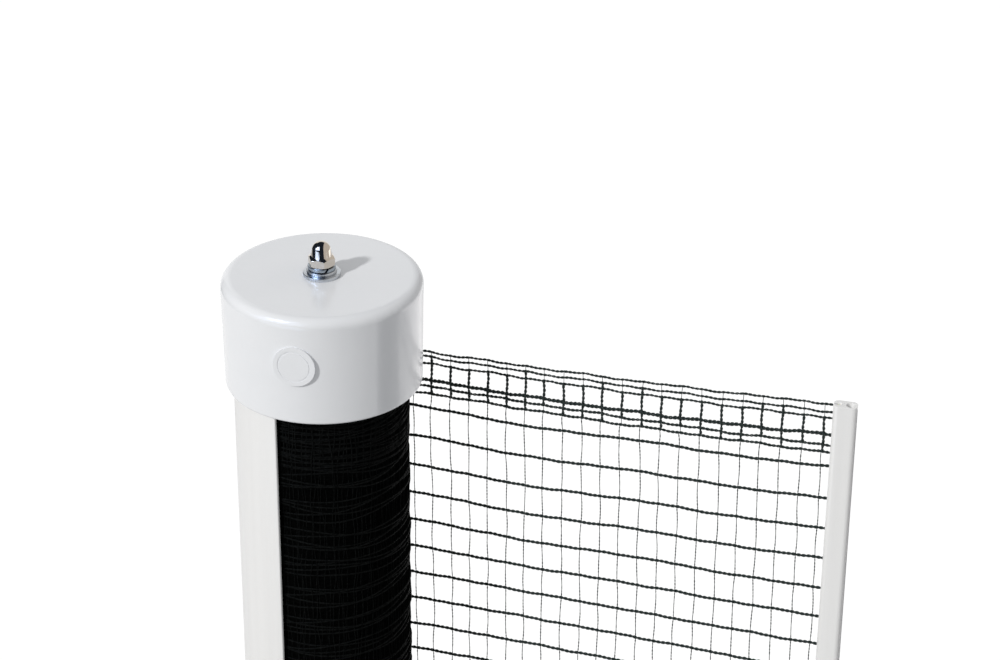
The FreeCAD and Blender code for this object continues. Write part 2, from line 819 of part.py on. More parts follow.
def drill_for_post(body, top, depth):
    """The holes for the axle rod and the two bracket screws, from a face at this height down."""
    sketch = new_sketch(body, "XY_Plane", "post_holes_outline")
    draw_circle(sketch, f"-{POST_OFFSET}", "0", ROD_HOLE)
    for side in (-1, 1):
        draw_circle(sketch, f"{side} * bracket_screw_spacing / 2 - {POST_OFFSET}", "0",
                    "bracket_screw_radius + screw_hole_clear")
    place_sketch(sketch, top)
    pocketed(body, "post_holes", sketch, depth)


def make_base_bar():
    """The flat bar under the foot and under the table's edge, which carries the screw boss."""
    body = new_body("base_bar")
    half = "(bracket_width / 2)"
    sketch = new_sketch(body, "XY_Plane", "bar_outline")
    draw_outline(sketch, [
        (FOOT_LEFT, f"-{half}"),
        (BAR_RIGHT, f"-{half}"),
        (BAR_RIGHT, half),
        (FOOT_LEFT, half),
    ])
    place_sketch(sketch, BAR_BASE)
    padded(body, "bar", sketch, "bar_thickness")
    rounded(body, "corners", is_straight_along(UP), "corner_radius")
    drill_for_post(body, FOOT_BASE, "bar_thickness")
    sketch = new_sketch(body, "XY_Plane", "boss_hole_outline")
    draw_circle(sketch, "0", "0", "boss_spigot_radius")
    place_sketch(sketch, FOOT_BASE)
    pocketed(body, "boss_hole", sketch, "bar_thickness")


def make_bracket_screws():
    """The two pan-head screws that stop the post from turning, one node of two solids."""
    grip = "(bar_thickness + strip_thickness + cap_wall + bracket_screw_bite)"
    screws = []
    for side, name in ((-1, "left"), (1, "right")):
        across = f"{side} * bracket_screw_spacing / 2"
        shank = cylinder(f"{name}_screw_shank", "bracket_screw_radius", f"{grip} + bracket_screw_head / 2")
        place(shank, across, "0", "-bracket_screw_head / 2")
        head = cylinder(f"{name}_screw_head", "bracket_screw_head_radius", "bracket_screw_head")
        place(head, across, "0", "-bracket_screw_head")
        screws.append(join(f"{name}_screw", [shank, head]))
    pair = doc.addObject("Part::Compound", "bracket_screws")
    pair.Links = screws
    on_post(pair, BAR_BASE)


def make_jaw_pad():
    """The rubber pad glued under the upper jaw. Its lower face is the table's top."""
    body = new_body("jaw_pad")
    half_x = "(pad_length / 2)"
    half_y = "(pad_width / 2)"
    sketch = new_sketch(body, "XY_Plane", "pad_outline")
    draw_outline(sketch, [
        (f"-{half_x}", f"-{half_y}"),
        (half_x, f"-{half_y}"),
        (half_x, half_y),
        (f"-{half_x}", half_y),
    ])
    padded(body, "pad", sketch, "pad_thickness")
    rounded(body, "corners", is_straight_along(UP), "pad_corner")


# Clamp screw


def make_screw_boss():
    """The threaded boss: spigot riveted through the bar, round body below it."""
    body = new_body("screw_boss")
    bore = "(clamp_screw_radius + thread_clear)"
    turned(body, "turning", [
        (bore, BOSS_BASE),
        ("boss_radius", BOSS_BASE),
        ("boss_radius", BAR_BASE),
        ("boss_spigot_radius", BAR_BASE),
        ("boss_spigot_radius", FOOT_BASE),
        (bore, FOOT_BASE),
    ])


def make_clamp_screw():
    """The clamp screw: shank, and a grooved neck that turns in the foot's socket."""
    body = new_body("clamp_screw")
    neck_end = f"({SOCKET_TOP} - neck_clear)"
    shoulder = f"({FOOT_HUB_BASE} - ring_clear)"
    groove = "(ring_radius - ring_wire_radius - ring_clear)"
    ring_middle = f"({FOOT_HUB_BASE} + foot_hub_length / 2)"
    half_groove = "(ring_wire_radius + ring_clear)"
    turned(body, "turning", [
        ("0", f"{KNOB_TOP} - insert_length"),
        ("clamp_screw_radius", f"{KNOB_TOP} - insert_length"),
        ("clamp_screw_radius", shoulder),
        ("neck_radius", shoulder),
        ("neck_radius", f"{ring_middle} - {half_groove}"),
        (groove, f"{ring_middle} - {half_groove}"),
        (groove, f"{ring_middle} + {half_groove}"),
        ("neck_radius", f"{ring_middle} + {half_groove}"),
        ("neck_radius", neck_end),
        ("0", neck_end),
    ])


def make_swivel_foot():
    """The pressure foot: a round plate with a socket hub, grooved inside for the ring."""
    body = new_body("swivel_foot")
    plate_top = "(-table_thickness - foot_rubber)"
    plate_base = f"({plate_top} - foot_thickness)"
    socket = "(neck_radius + neck_clear)"
    groove = "(ring_radius + ring_wire_radius)"
    ring_middle = f"({FOOT_HUB_BASE} + foot_hub_length / 2)"
    turned(body, "turning", [
        (socket, FOOT_HUB_BASE),
        ("foot_hub_radius", FOOT_HUB_BASE),
        ("foot_hub_radius", plate_base),
        ("foot_radius", plate_base),
        ("foot_radius", plate_top),
        ("0", plate_top),
        ("0", SOCKET_TOP),
        (socket, SOCKET_TOP),
        (socket, f"{ring_middle} + ring_wire_radius"),
        (groove, f"{ring_middle} + ring_wire_radius"),
        (groove, f"{ring_middle} - ring_wire_radius"),
        (socket, f"{ring_middle} - ring_wire_radius"),
    ])


def make_foot_ring():
    wire = doc.addObject("Part::Torus", "foot_retaining_ring")
    bind(wire, Radius1="ring_radius", Radius2="ring_wire_radius")
    place(wire, "0", "0", f"{FOOT_HUB_BASE} + foot_hub_length / 2")


def make_foot_pad():
    rubber = cylinder("foot_pad", "foot_radius", "foot_rubber")
    place(rubber, "0", "0", "-table_thickness - foot_rubber")


def make_clamp_knob():
    """The hand knob: collar and lobed grip, with a blind pocket from above for its insert."""
    body = new_body("clamp_knob")
    grip_top = "(-knob_collar)"
    grip_base = "(-knob_collar - knob_height)"
    turned(body, "turning", [
        ("0", grip_base),
        ("knob_radius", grip_base),
        ("knob_radius", grip_top),
        ("knob_collar_radius", grip_top),
        ("knob_collar_radius", "0"),
        ("0", "0"),
    ])
    sketch = new_sketch(body, "XY_Plane", "scallop_outline")
    draw_circle(sketch, "scallop_place", "0", "scallop_radius")
    place_sketch(sketch, grip_top)
    scallop = pocketed(body, "scallop", sketch, "knob_height")
    pattern = body.newObject("PartDesign::PolarPattern", "clamp_knob_scallops")
    pattern.Originals = [scallop]
    pattern.Axis = (sketch, ["N_Axis"])
    pattern.Angle = 360
    bind(pattern, Occurrences="scallop_count")
    body.Tip = pattern
    doc.recompute()
    heights = [worked_out(grip_base), worked_out(grip_top)]
    on_collar = is_ring(size("knob_collar_radius"), heights[1])

    def on_grip_faces(edge):
        level = edge.BoundBox.ZLength < NEAR
        at_face = any(abs(edge.BoundBox.ZMin - height) < NEAR for height in heights)
        return level and at_face and not on_collar(edge)

    rounded(body, "grip_edges", on_grip_faces, "knob_edge")
    turned(body, "insert_pocket", [
        ("0", "0"),
        ("insert_radius", "0"),
        ("insert_radius", "-insert_length"),
        ("0", "-insert_length"),
    ], cut=True)
    place(body, "0", "0", KNOB_TOP)


def make_knob_insert():
    insert = ring("knob_insert", "insert_radius", "clamp_screw_radius", "insert_length")
    place(insert, "0", "0", f"{KNOB_TOP} - insert_length")


make_top_cap()
make_bottom_cap()
make_housing_shell()
make_axle()
make_acorn_nut()
make_top_washers()
make_inner_fasteners()
make_drag_spring()
make_bottom_fasteners()
make_roller_tube()
make_anchor_strip()
make_plug("roller_top_plug", False, CORE_HIGH)
make_plug("roller_bottom_plug", True, CORE_LOW)
make_bush("roller_top_bush", False, PLUG_TOP)
make_bush("roller_bottom_bush", True, PLUG_BASE)
make_net_roll()
make_net_sheet()
make_end_bar()
make_jaw_bracket()
make_base_bar()
make_bracket_screws()
make_jaw_pad()
make_screw_boss()
make_clamp_screw()
make_swivel_foot()
make_foot_ring()
make_foot_pad()
make_clamp_knob()
make_knob_insert()
doc.recompute()

NODES = [
    "top_cap", "acorn_nut", "top_lock_washer", "top_spacer_washer", "top_flat_washer",
    "housing_shell", "net_roll", "net_sheet", "axle_rod", "top_inner_washer", "top_inner_nut",
    "top_thrust_washer", "roller_top_bush", "roller_top_plug", "roller_tube", "roller_bottom_plug",
    "roller_bottom_bush", "net_anchor_strip", "drag_disc_spring", "drag_washer", "bottom_inner_nut",
    "bottom_inner_washer", "bottom_cap", "jaw_bracket", "base_bar", "bracket_screws", "bottom_washer",
    "bottom_lock_nut", "jaw_pad", "screw_boss", "clamp_screw", "swivel_foot", "foot_pad",
    "foot_retaining_ring", "clamp_knob", "knob_insert", "end_bar", "keder_rod",
]

for item in doc.Objects:
    if "Invalid" in item.State or "Error" in item.State:
        raise ValueError(f"{item.Label} failed: {item.State}")
os.makedirs("parts", exist_ok=True)
for node in NODES:
    item = doc.getObjectsByLabel(node)[0]
    if item.Shape.isNull() or not item.Shape.isValid():
        raise ValueError(f"{node} has no valid shape")
    item.Shape.exportStep(f"parts/{node}.step")
    print(node, len(item.Shape.Solids), round(item.Shape.Volume, 1))
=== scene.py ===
import math
import random

import bpy
import numpy as np
from mathutils import Matrix, Vector


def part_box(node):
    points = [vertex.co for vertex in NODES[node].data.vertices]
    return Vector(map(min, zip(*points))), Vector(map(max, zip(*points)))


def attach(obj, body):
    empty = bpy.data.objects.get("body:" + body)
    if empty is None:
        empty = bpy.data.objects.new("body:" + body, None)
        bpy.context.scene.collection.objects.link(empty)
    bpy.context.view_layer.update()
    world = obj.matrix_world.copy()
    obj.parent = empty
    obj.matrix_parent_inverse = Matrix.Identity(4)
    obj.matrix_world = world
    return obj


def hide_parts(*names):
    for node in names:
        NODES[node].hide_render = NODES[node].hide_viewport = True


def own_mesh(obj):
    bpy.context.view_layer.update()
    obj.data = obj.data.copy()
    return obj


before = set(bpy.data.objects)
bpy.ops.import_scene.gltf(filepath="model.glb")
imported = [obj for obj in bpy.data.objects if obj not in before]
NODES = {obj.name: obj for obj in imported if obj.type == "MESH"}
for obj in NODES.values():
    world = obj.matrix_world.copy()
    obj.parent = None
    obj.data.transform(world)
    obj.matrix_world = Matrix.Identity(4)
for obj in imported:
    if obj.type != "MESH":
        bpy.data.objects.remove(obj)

# Table tennis net post with a hand-wound reel and a table clamp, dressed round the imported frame.
# Metres, +Z up, +X along the net. The origin is the middle of the upper jaw pad's lower face.

MM = 0.001
TURN = 2 * math.pi
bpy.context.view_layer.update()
chance = random.Random(7)

AXIS_X = sum(corner.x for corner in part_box("roller_tube")) / 2
POST_AXIS = Vector((AXIS_X, 0))
NET_LOW, NET_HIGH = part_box("net_sheet")
NET_Y = (NET_LOW.y + NET_HIGH.y) / 2
RIM_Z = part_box("top_cap")[0].z
ROLL_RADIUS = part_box("net_roll")[1].y
CORE_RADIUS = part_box("roller_tube")[1].y

# Depths of the net's level cords below the cap's rim, at three distances from the post's axis, in mm.
# The hem comes first, then the rows of meshes, then the two close cords at the net's foot.
STATIONS = (34, 90, 162)
HEM_DEPTHS = [
    (1.8, 2.0, 0.5), (3.7, 4.3, 3.4), (6.3, 6.7, 5.7),
    (12.9, 13.8, 12.1), (15.2, 16.4, 16.1), (18.0, 19.1, 18.8),
]
ROW_DEPTHS = [
    (23.9, 25.0, 24.2), (35.8, 37.0, 36.5), (47.5, 48.6, 48.2), (58.7, 60.0, 60.0),
    (69.7, 71.1, 71.9), (80.5, 82.0, 83.3), (91.1, 92.8, 94.7), (101.8, 103.4, 106.3),
    (112.7, 114.4, 117.6), (123.3, 125.3, 128.6), (135.7, 136.9, 138.8),
]
FOOT_DEPTHS = [(149.3, 149.5, 149.4), (150.9, 151.0, 150.9)]
LEVEL_CORDS = HEM_DEPTHS + ROW_DEPTHS + FOOT_DEPTHS
MESH_WIDTH = 6.8 * MM
# How far the first upright stands from the post's axis, how wide its mesh is, and by how much the
# meshes widen, in mm
UPRIGHT_SPACING = (2.06, 6.502, 0.0085)

# Radius of one ply of each cord, how far a ply runs along it in one turn, and the ply's sides
HEM_PLIES = [(radius * MM, 3.0 * MM, 4) for radius in (0.25, 0.25, 0.25, 0.38, 0.29, 0.29)]
ROW_PLY = (0.31 * MM, 3.4 * MM, 5)
HEM_UPRIGHT_PLY = (0.30 * MM, 3.4 * MM, 4)
UPRIGHT_PLY = (0.13 * MM, 2.4 * MM, 3)
# Radius and sides of the single threads at the hem's edges
UPPER_THREAD = (0.14 * MM, 4)
LOWER_THREAD = (0.15 * MM, 4)
# How far a knot's thread winds from the cord's middle, the thread's radius, and its turns
THICK_KNOT = (0.42 * MM, 0.18 * MM, 2)
THIN_KNOT = (0.34 * MM, 0.13 * MM, 1.5)
ROW_KNOT = (0.46 * MM, 0.12 * MM, 1.5)
# How often a thick upright of the hem starts at the second cord, and ends at the sixth
STARTS_AT_SECOND = 0.35
ENDS_AT_SIXTH = 0.8


# Meshes of tubes and turned parts


class Strands:
    """Tubes gathered into one mesh."""

    def __init__(self):
        self.points = []
        self.faces = []
        self.count = 0

    def tube(self, line, radius, sides):
        """A closed tube along a line of points, with one radius or one for each point."""
        line = np.asarray(line, float)
        radii = np.broadcast_to(np.asarray(radius, float), len(line))
        ahead = np.gradient(line, axis=0)
        ahead /= np.linalg.norm(ahead, axis=1)[:, None]
        normal = np.cross(ahead[0], (0.3, 0.5, 0.8))
        rings = []
        turns = np.arange(sides) * TURN / sides
        for point, heading, size in zip(line, ahead, radii):
            normal = normal - heading * np.dot(normal, heading)
            normal /= np.linalg.norm(normal)
            other = np.cross(heading, normal)
            rings.append(point + size * (np.cos(turns)[:, None] * normal + np.sin(turns)[:, None] * other))
        self.points.append(np.concatenate(rings))
        start = self.count
        for ring in range(len(line) - 1):
            low = start + ring * sides
            high = low + sides
            for side in range(sides):
                following = (side + 1) % sides
                self.faces.append((low + side, low + following, high + following, high + side))
        last = start + (len(line) - 1) * sides
        self.faces.append(tuple(start + side for side in reversed(range(sides))))
        self.faces.append(tuple(last + side for side in range(sides)))
        self.count += len(line) * sides

    def plied(self, line, across, up, radius, pitch, sides, plies=2):
        """Plies twisted round a line, which lie across and up from it."""
        line = np.asarray(line, float)
        steps = np.linalg.norm(np.diff(line, axis=0), axis=1)
        along = np.concatenate([[0], np.cumsum(steps)])
        start = chance.random()
        for ply in range(plies):
            angle = TURN * (along / pitch + start + ply / plies)
            offset = 0.92 * radius * (np.cos(angle)[:, None] * across + np.sin(angle)[:, None] * up)
            self.tube(line + offset, radius, sides)

    def made(self, name, material):
        """The gathered tubes as one piece."""
        mesh = bpy.data.meshes.new(name)
        mesh.from_pydata(np.concatenate(self.points).tolist(), [], self.faces)
        return new_piece(name, mesh, material)


def lathe(name, profile, sides, centres=(POST_AXIS,), closed=False):
    """A turned mesh round upright axes. The profile lists radii and heights, in mm, with the outside on its
    right going up. A radius may be a function of the angle."""
    points = []
    faces = []
    for centre in centres:
        rings = []
        for radius, height in profile:
            ring = []
            for side in range(1 if radius == 0 else sides):
                angle = TURN * side / sides
                reach = (radius(angle) if callable(radius) else radius) * MM
                x = centre.x + reach * math.cos(angle)
                y = centre.y + reach * math.sin(angle)
                ring.append(len(points))
                points.append((x, y, height * MM))
            rings.append(ring)
        pairs = list(zip(rings, rings[1:]))
        if closed:
            pairs.append((rings[-1], rings[0]))
        for lower, upper in pairs:
            for side in range(sides):
                following = (side + 1) % sides
                if len(lower) == 1:
                    faces.append((lower[0], upper[following], upper[side]))
                elif len(upper) == 1:
                    faces.append((lower[side], lower[following], upper[0]))
                else:
                    faces.append((lower[side], lower[following], upper[following], upper[side]))
    mesh = bpy.data.meshes.new(name)
    mesh.from_pydata(points, [], faces)
    return mesh


def hexagonal(radius, flats):
    """A radius that stays inside a hexagon whose corners lie along X."""
    def reach(angle):
        return min(radius, flats / 2 / math.cos(angle % (TURN / 6) - TURN / 12))
    return reach


def threaded(low, high, crest, root, pitch, steps=9):
    """The profile of a right-hand thread from low to high, in mm."""
    # The part of the way from root to crest that is flat, at each of its ends
    flat = 0.12

    def radius_at(height):
        def reach(angle):
            rise = 1 - abs(2 * ((height / pitch - angle / TURN) % 1) - 1)
            return root + (crest - root) * min(1, max(0, (rise - flat) / (1 - 2 * flat)))
        return reach
    count = int((high - low) / pitch * steps) + 1
    return [(radius_at(float(height)), float(height)) for height in np.linspace(low, high, count)]


def rounded(radius, height, rounding, start, end, steps=6):
    """Profile points round a corner's middle, from one angle to another in degrees above outwards."""
    turns = [math.radians(start + (end - start) * step / steps) for step in range(steps + 1)]
    return [(radius + rounding * math.cos(turn), height + rounding * math.sin(turn)) for turn in turns]


def ring_profile(bore, radius, low, high, rounding):
    """A washer's section, with its outer edges rounded."""
    inner = radius - rounding
    profile = [(bore, high), (bore, low)]
    profile += rounded(inner, low + rounding, rounding, -90, 0)
    profile += rounded(inner, high - rounding, rounding, 0, 90)
    return profile


def new_piece(name, mesh, material):
    """An object with smooth faces and one material, in the scene."""
    mesh.polygons.foreach_set("use_smooth", [True] * len(mesh.polygons))
    mesh.materials.append(material)
    mesh.update()
    piece = bpy.data.objects.new(name, mesh)
    bpy.context.scene.collection.objects.link(piece)
    return piece


def metal_piece(name, mesh, material, body, node, sharp=32):
    """A turned piece that stands for its CAD node, which it hides, on the node's body."""
    piece = new_piece(name, mesh, material)
    mesh.set_sharp_from_angle(angle=math.radians(sharp))
    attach(piece, body)
    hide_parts(node)
    return piece


# Materials


class Finish:
    """A Principled material, and short ways to feed its sockets from patterns in the piece's own space."""

    def __init__(self, name, **constants):
        self.material = bpy.data.materials.new(name)
        self.material.use_nodes = True
        self.tree = self.material.node_tree
        self.shader = self.tree.nodes["Principled BSDF"]
        self.place = self.tree.nodes.new("ShaderNodeTexCoord").outputs["Object"]
        self.normal = None
        for socket, value in constants.items():
            self.shader.inputs[socket.replace("_", " ")].default_value = value

    def scaled(self, scale):
        """The piece's space, in waves or cells per metre along X, Y and Z."""
        node = self.tree.nodes.new("ShaderNodeMapping")
        node.inputs["Scale"].default_value = scale if hasattr(scale, "__len__") else (scale,) * 3
        self.tree.links.new(self.place, node.inputs["Vector"])
        return node.outputs["Vector"]

    def noise(self, scale, detail=3.0, roughness=0.5):
        node = self.tree.nodes.new("ShaderNodeTexNoise")
        node.inputs["Scale"].default_value = 1.0
        node.inputs["Detail"].default_value = detail
        node.inputs["Roughness"].default_value = roughness
        self.tree.links.new(self.scaled(scale), node.inputs["Vector"])
        return node.outputs["Fac"]

    def cells(self, scale):
        node = self.tree.nodes.new("ShaderNodeTexVoronoi")
        node.inputs["Scale"].default_value = 1.0
        self.tree.links.new(self.scaled(scale), node.inputs["Vector"])
        return node.outputs["Distance"]

    def ranged(self, value, low, high, start=0.3, end=0.7):
        """A number that runs from low to high as the value does from start to end."""
        node = self.tree.nodes.new("ShaderNodeMapRange")
        self.tree.links.new(value, node.inputs["Value"])
        node.inputs["From Min"].default_value = start
        node.inputs["From Max"].default_value = end
        node.inputs["To Min"].default_value = low
        node.inputs["To Max"].default_value = high
        return node.outputs["Result"]

    def colour(self, value, low, high, start=0.3, end=0.7):
        """The base colour runs from low to high as the value does from start to end."""
        node = self.tree.nodes.new("ShaderNodeValToRGB")
        node.color_ramp.elements[0].position = start
        node.color_ramp.elements[1].position = end
        node.color_ramp.elements[0].color = (*low, 1)
        node.color_ramp.elements[1].color = (*high, 1)
        self.tree.links.new(value, node.inputs["Fac"])
        self.tree.links.new(node.outputs["Color"], self.shader.inputs["Base Color"])
        return self

    def rough(self, value, low, high):
        self.tree.links.new(self.ranged(value, low, high), self.shader.inputs["Roughness"])
        return self

    def bump(self, value, depth, strength=1.0):
        node = self.tree.nodes.new("ShaderNodeBump")
        node.inputs["Strength"].default_value = strength
        node.inputs["Distance"].default_value = depth
        self.tree.links.new(value, node.inputs["Height"])
        if self.normal:
            self.tree.links.new(self.normal, node.inputs["Normal"])
        self.normal = node.outputs["Normal"]
        self.tree.links.new(self.normal, self.shader.inputs["Normal"])
        return self


def cap_plastic():
    """Glossy cool white moulding, with faint flow marks and a slight unevenness of its skin."""
    finish = Finish("cap_plastic", Specular_IOR_Level=0.5, IOR=1.5)
    finish.colour(finish.noise(45, 4), (0.760, 0.774, 0.796), (0.780, 0.792, 0.812))
    finish.rough(finish.noise(320, 3), 0.16, 0.23)
    finish.bump(finish.noise(160, 2), 0.00006)
    return finish.material


def shell_plastic():
    """Matt warm white tube wall, with faint lines along its length."""
    finish = Finish("shell_plastic")
    finish.colour(finish.noise((260, 260, 6), 3), (0.765, 0.763, 0.755), (0.792, 0.790, 0.782))
    finish.rough(finish.noise(420, 3), 0.48, 0.60)
    finish.bump(finish.noise((900, 900, 14), 3), 0.00004)
    finish.bump(finish.noise(2600, 2), 0.00002)
    return finish.material


def bar_plastic():
    """Satin white extruded profile."""
    finish = Finish("bar_plastic")
    finish.colour(finish.noise((420, 420, 10), 3), (0.78, 0.78, 0.775), (0.80, 0.80, 0.795))
    finish.rough(finish.noise(500, 3), 0.34, 0.44)
    finish.bump(finish.noise((1500, 1500, 20), 3), 0.00004)
    return finish.material


def cord_fibre(name, low, high, gloss):
    """Dark polyester thread: fine filaments along the cord, slightly green where it catches light."""
    finish = Finish(name, Specular_IOR_Level=gloss)
    finish.colour(finish.noise(1800, 3), low, high)
    finish.rough(finish.noise(2400, 2), 0.50, 0.72)
    finish.bump(finish.noise((5200, 5200, 5200), 3, 0.7), 0.00008)
    return finish.material


def plated(name, low, high, roughness, patches, depth):
    """Plated or oxidised metal, with soft patches in its tint and fine tool marks round it."""
    finish = Finish(name, Metallic=1.0)
    finish.colour(finish.noise(patches, 3), low, high)
    finish.rough(finish.noise(1500, 3), *roughness)
    finish.bump(finish.noise((900, 900, 5000), 3), depth)
    return finish.material


def powder_coat():
    """Black powder coat with its orange-peel skin."""
    finish = Finish("black_powder_coat", Specular_IOR_Level=0.45)
    finish.colour(finish.noise(90, 4), (0.018, 0.018, 0.019), (0.028, 0.028, 0.029))
    finish.rough(finish.noise(700, 3), 0.38, 0.52)
    finish.bump(finish.noise(1300, 2), 0.00012)
    return finish.material


def nylon():
    """Natural milky nylon."""
    finish = Finish("natural_nylon", Subsurface_Weight=0.15, Subsurface_Scale=0.002)
    finish.colour(finish.noise(240, 3), (0.66, 0.64, 0.585), (0.71, 0.69, 0.64))
    finish.rough(finish.noise(900, 3), 0.38, 0.48)
    finish.bump(finish.noise((1600, 1600, 3200), 3), 0.00003)
    return finish.material


def rubber():
    """Matt dark rubber with a fine pebbled face."""
    finish = Finish("dark_rubber", Specular_IOR_Level=0.3)
    finish.colour(finish.noise(260, 4), (0.022, 0.022, 0.022), (0.040, 0.040, 0.039))
    finish.rough(finish.noise(900, 3), 0.72, 0.88)
    finish.bump(finish.cells(1600), 0.00012)
    return finish.material


def knob_plastic():
    """Black moulded grip with a spark-eroded texture."""
    finish = Finish("black_moulding")
    finish.colour(finish.noise(120, 4), (0.016, 0.016, 0.017), (0.026, 0.026, 0.027))
    finish.rough(finish.noise(1100, 3), 0.40, 0.56)
    finish.bump(finish.noise(2300, 3, 0.7), 0.00014)
    return finish.material


def aluminium():
    """Mill-finish extruded tube, drawn along its length."""
    finish = Finish("mill_aluminium", Metallic=1.0)
    finish.colour(finish.noise((900, 900, 12), 3), (0.70, 0.71, 0.72), (0.80, 0.81, 0.82))
    finish.rough(finish.noise((1500, 1500, 25), 3), 0.26, 0.42)
    finish.bump(finish.noise((2600, 2600, 30), 3), 0.00003)
    return finish.material


# The drawn-out net


ALONG = np.array([1.0, 0.0, 0.0])
OUT = np.array([0.0, 1.0, 0.0])
UP = np.array([0.0, 0.0, 1.0])


def level_line(depths, wave, ripple):
    """The middle line of a level cord, with a slow wave and small jogs every two or three meshes."""
    start = NET_LOW.x - AXIS_X
    end = NET_HIGH.x - AXIS_X
    places = np.linspace(start, end, int((end - start) / (0.5 * MM)) + 1)
    # A curve through the three stations, which runs level where it leaves the roll
    depth = np.polyval(np.polyfit(STATIONS, depths, 2), np.clip(places / MM, 26, None)) * MM
    # The wave dies out towards the net's foot and towards the end bar
    fade = min(1, max(0, (92 - depths[0]) / 25)) * np.clip((165 - places / MM) / 50, 0, 1)
    depth += wave * fade * np.sin(TURN * (places / MM - 42) / 82)
    for length, size in ((2.7 * MESH_WIDTH, 0.55), (4.6 * MESH_WIDTH, 0.5), (MESH_WIDTH, 0.35)):
        depth += ripple * size * np.sin(TURN * (places / length + chance.random()))
    across = NET_Y + 0.06 * MM * np.sin(TURN * (places / (3.1 * MESH_WIDTH) + chance.random()))
    heights = np.clip(RIM_Z - depth, NET_LOW.z + 0.5 * MM, NET_HIGH.z - 0.2 * MM)
    return np.stack([AXIS_X + places, across, heights], axis=1)


def height_at(line, x):
    """The height of a level cord at a place along the net."""
    return float(np.interp(x, line[:, 0], line[:, 2]))


def upright_place(number):
    """How far an upright thread stands from the post's axis. The meshes widen towards the end bar."""
    first, width, widening = UPRIGHT_SPACING
    return (first + width * number + widening * number**2) * MM


def lean(height):
    """How far the upright threads have drifted along the net at this height."""
    return float(np.interp((RIM_Z - height) / MM, (30, 45, 95), (0, 0.3, 0.6))) * MM


def knot(strands, point, reach, wire, coils, sides=3):
    """A thread wound a few times round a level cord."""
    count = int(8 * coils) + 1
    angle = TURN * np.linspace(0, coils, count) + TURN * chance.random()
    spread = np.linspace(-0.5, 0.5, count) * wire * 1.7 * coils
    ring = reach * (np.cos(angle)[:, None] * OUT + np.sin(angle)[:, None] * UP)
    strands.tube(np.asarray(point) + spread[:, None] * ALONG + ring, wire, sides)


def make_drawn_net(material):
    """The net between the roll and the end bar: level cords, thin uprights, and the hem's thick ones."""
    net = Strands()
    hem = []
    for depths, ply in zip(HEM_DEPTHS, HEM_PLIES):
        line = level_line(depths, wave=0, ripple=0.28 * MM)
        net.plied(line, OUT, UP, *ply)
        hem.append(line)
    rows = []
    for depths in ROW_DEPTHS + FOOT_DEPTHS:
        line = level_line(depths, wave=0.48 * MM, ripple=0.18 * MM)
        net.plied(line, OUT, UP, *ROW_PLY)
        rows.append(line)
    number = 0
    while upright_place(number) < NET_HIGH.x - AXIS_X - 1.5 * MM:
        x = AXIS_X + upright_place(number) + chance.uniform(-0.25, 0.25) * MM
        upright_of_hem(net, hem, x + 0.3 * MM)
        upright_below_hem(net, [hem[-1]] + rows, x)
        number += 1
    return net.made("drawn_net", material)


def upright_of_hem(net, hem, x):
    """A thin thread over the hem's top cords, a thick doubled one across its gap, and where that ends early
    a thin one again."""
    tilt = chance.uniform(-0.25, 0.25) * MM
    top, second, third, fourth, fifth, sixth = [height_at(line, x) for line in hem]
    first_tied = second if chance.random() < STARTS_AT_SECOND else third
    last_tied = sixth if chance.random() < ENDS_AT_SIXTH else fifth
    middle = (x + tilt / 2, NET_Y, (top + first_tied) / 2)
    net.tube([(x + tilt, NET_Y, top), middle, (x, NET_Y, first_tied)], *UPPER_THREAD)
    steps = np.linspace(0, 1, 20)
    heights = first_tied + (last_tied - first_tied) * steps
    across = x + 0.12 * MM * np.sin(TURN * (steps + chance.random()))
    thick = np.stack([across, np.full(len(steps), NET_Y), heights], axis=1)
    net.plied(thick, ALONG, OUT, *HEM_UPRIGHT_PLY)
    if last_tied == fifth:
        middle = (x + tilt / 2, NET_Y, (fifth + sixth) / 2)
        net.tube([(x, NET_Y, fifth), middle, (x, NET_Y, sixth)], *LOWER_THREAD)
    for height in (first_tied, third, fourth, last_tied):
        knot(net, (x, NET_Y, height), *THICK_KNOT)
    for height in (top, second, fifth, sixth):
        knot(net, (x, NET_Y, height), *THIN_KNOT)


def upright_below_hem(net, lines, x):
    """A thin two-ply thread from the hem to the net's foot, tied round each level cord it crosses."""
    knots = []
    for line in lines:
        shifted = x + lean(height_at(line, x)) + chance.uniform(-0.28, 0.28) * MM
        knots.append((shifted, NET_Y, height_at(line, shifted)))
    points = [knots[0]]
    for upper, lower in zip(knots, knots[1:]):
        bow = chance.uniform(-0.22, 0.22) * MM
        steps = max(3, int((upper[2] - lower[2]) / (1.25 * MM)))
        for step in range(1, steps + 1):
            share = step / steps
            bend = bow * math.sin(math.pi * share)
            points.append((
                upper[0] + (lower[0] - upper[0]) * share + bend,
                NET_Y + 0.5 * bend,
                upper[2] + (lower[2] - upper[2]) * share,
            ))
    net.plied(points, ALONG, OUT, *UPRIGHT_PLY)
    for point in knots[1:]:
        knot(net, point, *ROW_KNOT)


# The wound net


ROLL_TURNS = 5
TURN_THICKNESS = 0.05 * MM
# How deep the outer cords' middles and the inner turns lie under the roll's outside
CORD_INSET = 0.64 * MM
SLEEVE_INSET = 0.95 * MM
# Radii of the outer turns' cords and upright threads, in the hem and below it
ROLL_HEM_CORD = 0.28 * MM
ROLL_ROW_CORD = 0.35 * MM
ROLL_HEM_THREAD = 0.24 * MM
ROLL_ROW_THREAD = 0.15 * MM
# How many cords and upright threads ridge the inner turns, and how high and wide their ridges are
SLEEVE_CORDS = 74
CORD_RIDGE = (0.30 * MM, 0.42 * MM)
SLEEVE_THREADS = 46
THREAD_RIDGE = (0.16 * MM, 0.7 * MM)


